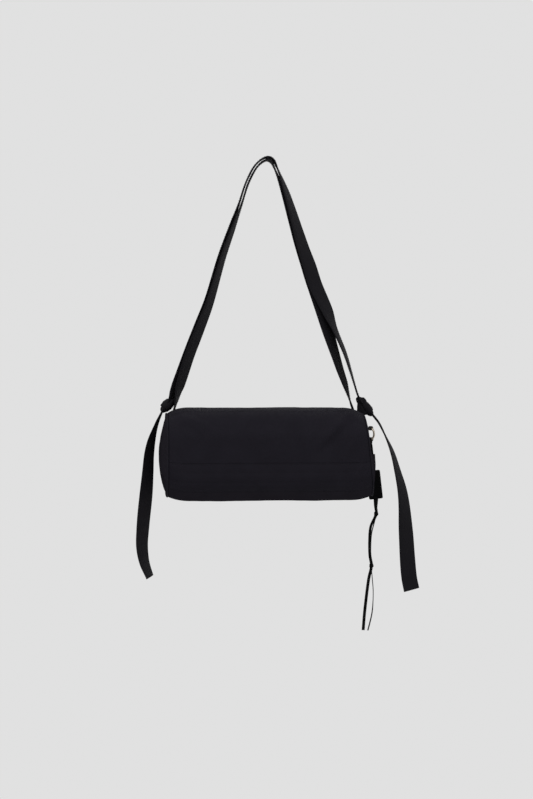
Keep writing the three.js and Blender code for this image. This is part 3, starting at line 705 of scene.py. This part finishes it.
SEWN_NODES = ["sewn_strap", "strap_foot_left", "strap_foot_right"]
strand("sewn_strap_cloth", SEWN_LEFT, SEWN_RIGHT, SPACING, SEWN_NODES, 51)
strand("tie_strap_cloth", TIE_LEFT, TIE_RIGHT, -SPACING, ["tie_strap"], 52)


# ---- knots --------------------------------------------------------------------------------
def wrap(centre, tall, wide, deep, lean, width, thick, seed, spread=0.0):
    """A band of strap wound once round a knot, leaning by `lean` degrees in the front plane."""
    angle = np.linspace(0, TAU, 73)[:-1]
    lean = math.radians(lean)
    axis = np.array([math.sin(lean), 0, math.cos(lean)])
    side = np.array([math.cos(lean), 0, -math.sin(lean)])
    ring = np.outer(np.cos(angle), side * wide / 2) + np.outer(np.sin(angle), [0, deep / 2, 0])
    out = ring / np.linalg.norm(ring, axis=1, keepdims=True)
    around = np.linspace(0, TAU, 21)[:-1]
    flat = np.sign(np.cos(around)) * np.abs(np.cos(around)) ** 0.45
    lift = np.sign(np.sin(around)) * np.abs(np.sin(around)) ** 0.8
    gather = 1 + 0.12 * np.sin(2 * angle + seed) + spread * np.cos(angle)
    crease = 0.25 * np.sin(flat[None] * 7 + 2 * np.sin(angle * 2 + seed)[:, None])
    crown = -1.1 * flat[None] ** 2
    along = axis * tall
    high = lift[None] * thick / 2 + (crease + crown) * (lift[None] > -0.2)
    spread_out = axis * (width / 2 * gather[:, None] * flat)[..., None]
    rows = (np.asarray(centre) + along + ring)[:, None] + spread_out
    rows = rows + out[:, None] * high[..., None]
    uv = np.stack(np.broadcast_arrays(flat[None] * width / 2, (angle * wide / 2)[:, None]), -1)
    return rows.reshape(-1, 3), grid_faces(72, 20, 0, True, True), uv.reshape(-1, 2)


def lump(centre, size, lean, seed):
    """The gathered middle of a knot: a rounded body with deep creases."""
    rows, cols = 26, 40
    up = np.linspace(0.06, math.pi - 0.06, rows)
    turn = np.linspace(0, TAU, cols + 1)[:-1]
    grid_up, grid_turn = np.meshgrid(up, turn, indexing="ij")
    power = lambda v: np.sign(v) * np.abs(v) ** 0.8
    unit = np.stack([
        power(np.sin(grid_up)) * power(np.cos(grid_turn)),
        power(np.sin(grid_up)) * power(np.sin(grid_turn)),
        power(np.cos(grid_up)),
    ], -1)
    crease = 1 + 0.05 * np.sin(grid_turn * 5 + 3 * np.sin(grid_up * 2 + seed))
    point = unit * crease[..., None] * np.asarray(size) / 2
    lean = math.radians(lean)
    x = point[..., 0] * math.cos(lean) + point[..., 2] * math.sin(lean)
    z = -point[..., 0] * math.sin(lean) + point[..., 2] * math.cos(lean)
    rows = np.stack([x, point[..., 1], z], -1) + np.asarray(centre)
    uv = np.stack([grid_turn * size[0] / 2, grid_up * size[2] / 2], -1)
    return tube_parts(rows, uv)


left_knot = join_parts([
    lump((-142.4, 0, -352), (12, 15, 25), 42, 1),
    wrap((-143.4, 0, -352.6), 0.5, 13.5, 17, 46, 13, 2.2, 2),
    wrap((-138.5, 0, -348.5), 1.0, 10.5, 15, 30, 8, 2.0, 4, 0.1),
])
finish_piece(new_object("tie_knot_left_cloth", *left_knot, STRAP), "bag", ["tie_knot_left"])
right_knot = join_parts([
    lump((138.4, 0, -354.5), (12, 13, 33), -40, 3),
    lump((134.4, 0, -355), (14, 12, 26), 4, 5),
    lump((139.5, 0, -361), (19, 11, 11), -8, 7),
    wrap((141, 0, -356.5), 0.0, 12.5, 15, -40, 17, 1.6, 6),
])
finish_piece(new_object("tie_knot_right_cloth", *right_knot, STRAP), "bag", ["tie_knot_right"])

# ---- hanging tails ------------------------------------------------------------------------
LEFT_TAIL = [
    (-148.5, -358, 4, 0.55), (-152.4, -366, 8, 0.7), (-156.2, -374, 11, 0.9), (-160.7, -386, 15, 1),
    (-165.2, -402, 27, 1), (-168.2, -420, 34, 1), (-170.2, -445, 40, 1), (-173.3, -480, 49, 1),
    (-177.3, -524, 47, 1), (-178.8, -552, 43, 1), (-175.6, -574, 34, 1), (-167.5, -595.5, 25, 0.9),
]
RIGHT_TAIL = [
    (145.5, -361, 0, 0.55), (152.5, -369.5, 0, 0.8), (159, -378, 3, 1), (168.5, -397, 8, 1),
    (177.8, -419, 18, 1), (185, -443, 26, 1), (191.8, -470, 38, 1), (195.7, -500, 49, 1),
    (198.3, -536, 64, 1), (200.3, -570, 70, 1), (203, -600, 70, 1), (206.6, -617.5, 72, 1),
]
for name, points, seed in (("left", LEFT_TAIL, 61), ("right", RIGHT_TAIL, 62)):
    route = [(x, 0, z, twist, 0, share) for x, z, twist, share in points]
    parts, line, normal, across, run = ribbon(route, STRAP_WIDTH, STRAP_THICK, 9, 32, 0.5, seed, 0.3)
    piece = new_object(f"tie_tail_{name}_cloth", *parts, STRAP)
    finish_piece(piece, f"tail_{name}", [f"tie_tail_{name}"])

# ---- ring, loop, strip and tag ------------------------------------------------------------
RING_MIDDLE = np.array([156.3, 65.0, -395.9])
RING_RADIUS, WIRE_RADIUS = 8.1, 1.4
CHARM_Y = 66
RING_ALONG = np.array([0.5, -math.sqrt(0.75), 0])
RING_OUT = np.array([math.sqrt(0.75), 0.5, 0])
UP = np.array([0, 0, 1.0])


def ring():
    """The charm's wire ring."""
    turn = np.linspace(0, TAU, 97)[:-1]
    around = np.linspace(0, TAU, 25)[:-1]
    spoke = np.outer(np.cos(turn), RING_ALONG) + np.outer(np.sin(turn), UP)
    rows = RING_MIDDLE + spoke[:, None] * (RING_RADIUS + WIRE_RADIUS * np.cos(around))[:, None]
    rows = rows + RING_OUT * (WIRE_RADIUS * np.sin(around))[:, None]
    return rows.reshape(-1, 3), grid_faces(96, 24, 0, True, True)


piece = new_object("charm_ring", *ring(), None, RING_METAL)
finish_piece(piece, "ring_body", ["ring"])


def eye(at, width, thick, toward, neck):
    """A strip that leaves `toward`, goes round the wire at `at` and comes back beside itself."""
    toward = np.asarray(toward, float) / np.linalg.norm(toward)
    aside = np.cross(RING_ALONG, toward)
    radius = 2.3 + thick / 2
    turns = np.linspace(-0.86 * math.pi, 0.86 * math.pi, 25)
    loop = [at - toward * radius * math.cos(a) + aside * radius * math.sin(a) for a in turns]
    inner = at + toward * neck
    beside = aside * (0.55 * thick)
    loop = np.array([inner - beside] + loop + [inner + beside])
    rows = []
    tangent = np.gradient(loop, axis=0)
    tangent /= np.linalg.norm(tangent, axis=1, keepdims=True)
    out = np.cross(RING_ALONG, tangent)
    around = np.linspace(0, TAU, 17)[:-1]
    flat = np.sign(np.cos(around)) * np.abs(np.cos(around)) ** 0.4
    lift = np.sign(np.sin(around)) * np.abs(np.sin(around)) ** 0.8
    for p, o in zip(loop, out):
        rows.append(p + np.outer(flat * width / 2, RING_ALONG) + np.outer(lift * thick / 2, o))
    return tube_parts(rows)


wire_top = RING_MIDDLE + UP * RING_RADIUS
wire_bottom = RING_MIDDLE - UP * RING_RADIUS
root = np.array([137.8, 52.4, -385.7])
start = wire_top - RING_OUT * 4.2
parts = [eye(wire_top, 6, 0.9, root - wire_top, 5)]
leg = [tuple(start + (root - start) * t) for t in (0, 0.35, 0.7, 1)]
parts.append(ribbon(leg, 6, 2.0, 6, 20)[0])
piece = new_object("ring_loop_cloth", *join_parts(parts), STRAP)
finish_piece(piece, "bag", ["ring_loop"])

strip_start = wire_bottom - UP * 4
strip_route = [
    (*strip_start, -30), (157.0, 65.4, -415, -40), (158.2, CHARM_Y - 0.3, -429, -62),
    (159.6, CHARM_Y, -444, -84), (160.3, CHARM_Y, -456, -90),
]
parts = [eye(wire_bottom, 6, 0.9, -UP, 6), ribbon(strip_route, 6, 1.7, 8, 20, 0.1, 71)[0]]
piece = new_object("charm_strip_leather", *join_parts(parts), LEATHER)
finish_piece(piece, "charm", ["charm_strip"])

TAG_TOP = np.array([160.0, CHARM_Y, -449.6])
TAG_WIDTH, TAG_HEIGHT = 20, 42
TAG_LEAN = math.radians(-6.4)
TAG_FOLD, TAG_SKIN = 1.2, 1.45
TAG_SEAM, TAG_PITCH = 2.1, 2.6


def tag_place(x, y, z):
    """Tag points from its own plane, leaning from its top."""
    across = x * math.cos(TAG_LEAN) + z * math.sin(TAG_LEAN)
    down = -x * math.sin(TAG_LEAN) + z * math.cos(TAG_LEAN)
    return TAG_TOP + np.stack([across, y, down], -1)


def tag_face(side):
    """One leather face: rounded corners, worn edges and a slight cushion inside the stitching."""
    rows, cols = 46, 26
    v, u = np.meshgrid(np.linspace(-1, 1, rows), np.linspace(-1, 1, cols), indexing="ij")
    half_w, half_h, corner = TAG_WIDTH / 2, TAG_HEIGHT / 2, 2.0
    x, z = u * half_w, v * half_h
    over_x = np.clip(np.abs(x) - (half_w - corner), 0, None)
    over_z = np.clip(np.abs(z) - (half_h - corner), 0, None)
    reach = np.hypot(over_x, over_z)
    square = np.maximum(over_x, over_z)
    pull = np.where(reach > 0, square / np.maximum(reach, 1e-6), 1)
    x = np.sign(x) * (np.abs(x) - over_x + over_x * pull)
    z = np.sign(z) * (np.abs(z) - over_z + over_z * pull)
    edge = np.minimum(half_w - np.abs(u * half_w), half_h - np.abs(v * half_h))
    high = TAG_SKIN - 0.7 * edge_round(edge, 0.8) - 0.28 * np.exp(-(((edge - TAG_SEAM) / 0.6) ** 2))
    high = high + 0.12 * smooth_noise(np.stack([x, z], -1), 16, 81 + side)
    outer = tag_place(x, side * (TAG_FOLD + high), z - half_h)
    inner = tag_place(x, side * np.full_like(x, TAG_FOLD), z - half_h)
    points, faces = slab_parts(outer, inner)
    uv = np.stack([x, z], -1).reshape(-1, 2)
    return points, faces, np.concatenate([uv, uv])


for name, side in (("front", -1), ("back", 1)):
    piece = new_object(f"tag_{name}_leather", *tag_face(side), LEATHER)
    finish_piece(piece, "charm", [f"tag_{name}"])
rows = []
for side in (-1, 1):
    w, h = TAG_WIDTH / 2 - TAG_SEAM, TAG_HEIGHT - TAG_SEAM
    corners = [(-w, -TAG_SEAM), (w, -TAG_SEAM), (w, -h), (-w, -h), (-w, -TAG_SEAM)]
    for (xa, za), (xb, zb) in zip(corners, corners[1:]):
        count = int(math.hypot(xb - xa, zb - za) / TAG_PITCH)
        t = (np.arange(count) + 0.5) / count
        x, z = xa + (xb - xa) * t, za + (zb - za) * t
        centres = tag_place(x, np.full_like(x, side * (TAG_FOLD + TAG_SKIN - 0.2)), z)
        ends = tag_place(np.array([xa, xb]), np.zeros(2), np.array([za, zb]))
        ahead = np.repeat(ends[1:] - ends[:1], count, 0)
        outward = np.tile([0.0, side, 0.0], (count, 1))
        rows.append(stitch_parts(centres, ahead, outward, 2.0, 0.2))
finish_piece(new_object("tag_stitches", *join_parts(rows), THREAD), "charm")

# ---- zip ----------------------------------------------------------------------------------
TAPE_TOP = BAG_TOP - ZIP_DIP - WALL - 0.4
COIL_HEIGHT, COIL_PITCH, COIL_THREAD = 0.75, 1.5, 0.34
COIL_MIDDLE = BAG_TOP - ZIP_DIP - COIL_HEIGHT


def tape(x0, x1, y0, y1):
    """A thin ribbed tape with a rolled edge beside the coil."""
    x = np.linspace(x0, x1, max(4, int((x1 - x0) / 3)))
    y = np.linspace(y0, y1, 16)
    grid_x, grid_y = np.meshgrid(x, y, indexing="ij")
    rib = 0.09 * np.sin(grid_y * TAU / 1.6)
    top = np.stack([grid_x, grid_y, TAPE_TOP + rib], -1)
    points, faces = slab_parts(top, top - [0, 0, 0.7])
    uv = np.stack([grid_y, grid_x], -1).reshape(-1, 2)
    return points, faces, np.concatenate([uv, uv])


def coil(x0, x1, side):
    """One side's coil: a round thread wound in flattened turns that reach past the middle."""
    turns = int((x1 - x0) / COIL_PITCH)
    steps = 14
    t = np.linspace(0, turns, turns * steps + 1)
    angle = t * TAU
    y = side * (1.25 - 1.35 * np.cos(angle))
    z = COIL_MIDDLE + COIL_HEIGHT * np.sin(angle)
    x = x0 + t * COIL_PITCH + (0.25 * side)
    line = np.stack([x, y, z], -1)
    tangent = np.gradient(line, axis=0)
    tangent /= np.linalg.norm(tangent, axis=1, keepdims=True)
    first = np.cross(tangent, [1, 0, 0])
    first /= np.linalg.norm(first, axis=1, keepdims=True)
    second = np.cross(tangent, first)
    around = np.linspace(0, TAU, 7)[:-1]
    circle = first[:, None] * np.cos(around)[:, None] + second[:, None] * np.sin(around)[:, None]
    rows = line[:, None] + COIL_THREAD * circle
    return tube_parts(rows)


LEAN_IN = 3.4
zip_low, zip_high = flap_low + MIDDLE_X, flap_high + MIDDLE_X - LEAN_IN
for name, side in (("front", -1), ("back", 1)):
    low, high = sorted((side * 0.5, side * 15))
    piece = new_object(f"zip_tape_{name}_cloth", *tape(zip_low + 0.5, zip_high - 0.5, low, high), TAPE)
    finish_piece(piece, f"mouth_{name}", [f"zip_tape_{name}"])
    piece = new_object(f"zip_coil_{name}_teeth", *coil(zip_low + 1, zip_high - 1, side), COIL)
    finish_piece(piece, f"mouth_{name}", [f"zip_coil_{name}"])
for name, x0, x1 in (("left", notch_low, zip_low - 0.4), ("right", zip_high + 0.4, notch_high)):
    parts = [tape(x0, x1, 0.4, 15), tape(x0, x1, -15, -0.4)]
    parts += [coil(x0 + 0.5, x1 - 0.8, side) for side in (-1, 1)]
    piece = new_object(f"zip_end_{name}_cloth", *join_parts(parts), TAPE)
    finish_piece(piece, "bag", [f"zip_end_{name}"])

for node in ("zip_slider", "zip_puller"):
    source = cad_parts[node]
    source.data.materials.clear()
    source.data.materials.append(ZIP_METAL)

# ---- lace ---------------------------------------------------------------------------------
LACE_WIDTH, LACE_THICK = 4.6, 1.2
UPPER_KNOT, LOWER_KNOT = (164.7, -513.2), (157.8, -589.2)
LACE_A = [
    (163, -487, 90), (163.6, -500, 80), (*UPPER_KNOT, 78), (156.7, -532.2, 60), (155.1, -552.7, 70),
    (155.6, -574, 78), (*LOWER_KNOT, 78), (154.1, -606.8, 80), (151.6, -624.3, 82), (149.5, -641.8, 84),
    (147.6, -659.4, 84), (145.7, -683.5, 80),
]
LACE_B = [
    (165.9, -487, 90), (165.7, -500, 30), (*UPPER_KNOT, 30), (161.7, -527.8, 14), (158.1, -542.4, 20),
    (156.6, -566, 30), (*LOWER_KNOT, 14), (159.2, -606.8, 3), (160.6, -624.3, 5), (160.4, -641.8, 12),
    (158.8, -659.4, 22), (152.9, -684.2, 26),
]


def small_knot(centre, size, seed):
    """A tight overhand knot in the lace: a creased lump with one turn wrapped round it."""
    x, z = centre
    body = lump((x, CHARM_Y, z), size, 12, seed)
    band = wrap((x, CHARM_Y, z), 0.3, size[0] + 0.4, size[1] + 0.6, 35, 3.4, 1.1, seed + 3)
    return new_object(f"lace_knot_{seed}", *join_parts([body, band]), LACE)


knots = [small_knot(UPPER_KNOT, (5.6, 5.6, 8.4), 11), small_knot(LOWER_KNOT, (5.4, 5.4, 7.6), 12)]
for knot in knots:
    finish_piece(knot, "lace_body")
for name, points, offset, with_knots in (("a", LACE_A, -0.8, knots), ("b", LACE_B, 0.8, [])):
    shares = [0.7] + [1] * (len(points) - 1)
    route = [(x, CHARM_Y + offset * share, z, twist) for (x, z, twist), share in zip(points, shares)]
    parts, line, normal, across, run = ribbon(route, LACE_WIDTH, LACE_THICK, 8, 16, 0.0, 91)
    piece = new_object(f"lace_strand_{name}", *parts, LACE)
    finish_piece(piece, "lace_body", ["lace"])


# ---- floor, backdrop and light ------------------------------------------------------------
BACKDROP = 0.752
FLOOR_HALF, FLOOR_LEVEL = 9000, -800
LIGHTS_AIM = np.array([0, 0, -0.38])


def floor():
    """A plain pale floor well under the hanging bag, as bright as the backdrop."""
    material = bpy.data.materials.new("floor")
    material.use_nodes = True
    tree = material.node_tree
    tree.nodes.remove(tree.nodes["Principled BSDF"])
    glow = tree.nodes.new("ShaderNodeEmission")
    glow.inputs["Color"].default_value = (BACKDROP, BACKDROP, BACKDROP, 1)
    glow.inputs["Strength"].default_value = 1
    tree.links.new(glow.outputs[0], tree.nodes["Material Output"].inputs["Surface"])
    signs = ((-1, -1), (1, -1), (1, 1), (-1, 1))
    corners = [(x * FLOOR_HALF, y * FLOOR_HALF, FLOOR_LEVEL) for x, y in signs]
    plane = new_object("floor", corners, [(0, 1, 2, 3)], None, material)


def area_light(name, place, size, watts):
    """A round soft light at `place`, turned to shine on the bag."""
    data = bpy.data.lights.new(name, "AREA")
    data.shape = "DISK"
    data.size = size
    data.energy = watts
    light = bpy.data.objects.new(name, data)
    bpy.context.scene.collection.objects.link(light)
    light.location = place
    toward = LIGHTS_AIM - np.array(place)
    tilt = math.atan2(math.hypot(toward[0], toward[1]), -toward[2])
    heading = math.atan2(toward[1], toward[0]) - math.pi / 2
    light.rotation_euler = (tilt, 0, heading)


floor()
area_light("key", (-0.7, -1.2, 1.5), 0.7, 24)
area_light("fill", (1.6, -1.6, 0.3), 1.3, 7)
area_light("back", (0.4, 1.6, 1.3), 1.2, 6)

world = bpy.data.worlds.new("studio")
bpy.context.scene.world = world
world.use_nodes = True
background = world.node_tree.nodes["Background"]
background.inputs["Color"].default_value = (BACKDROP, BACKDROP, BACKDROP, 1)
background.inputs["Strength"].default_value = 1
bpy.context.scene.view_settings.view_transform = "Standard"

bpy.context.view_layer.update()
